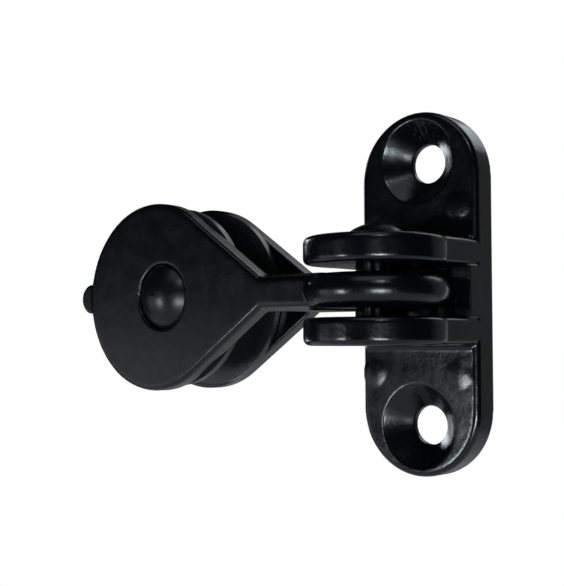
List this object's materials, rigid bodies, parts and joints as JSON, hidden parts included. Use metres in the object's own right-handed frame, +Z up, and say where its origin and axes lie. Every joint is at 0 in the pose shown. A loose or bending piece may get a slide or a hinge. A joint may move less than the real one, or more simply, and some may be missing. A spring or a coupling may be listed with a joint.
{
  "type": "single sheave block",
  "caption": "Wall plate with a clevis that carries a swivelling fork arm and a grooved sheave, to turn a line beside a wall or mast.",
  "frame": {"origin": "centre of the plate's flat back face", "axes": "+Z up along the plate, +Y out of the back face into the wall, -Y away from the wall; the arm rests along -X"},
  "size_m": [0.0562, 0.0216, 0.0466],
  "materials": {
    "moulding": "semi-gloss moulded black",
    "arm_moulding": "semi-gloss moulded black",
    "sheave_moulding": "smooth moulded black",
    "rivet": "black coated",
    "steel": "turned"
  },
  "bodies": {
    "bracket": {"mounting_bracket": "moulding", "swivel_pin": "rivet", "swivel_spacer": "rivet", "swivel_washer": "steel"},
    "arm": {"fork_arm": "arm_moulding", "axle_rivet": "rivet", "axle_spacer": "steel", "axle_washer": "steel"},
    "wheel": {"sheave": "sheave_moulding"}
  },
  "joints": [
    {"name": "arm_swivel", "type": "hinge", "parent": "bracket", "child": "arm", "pos_m": [0, -0.0127, 0], "axis": [0, 0, 1], "range_deg": [-3, 183]},
    {"name": "sheave_spin", "type": "hinge", "parent": "arm", "child": "wheel", "pos_m": [-0.0306, -0.0127, 0], "axis": [0, -1, 0], "continuous": true}
  ]
}
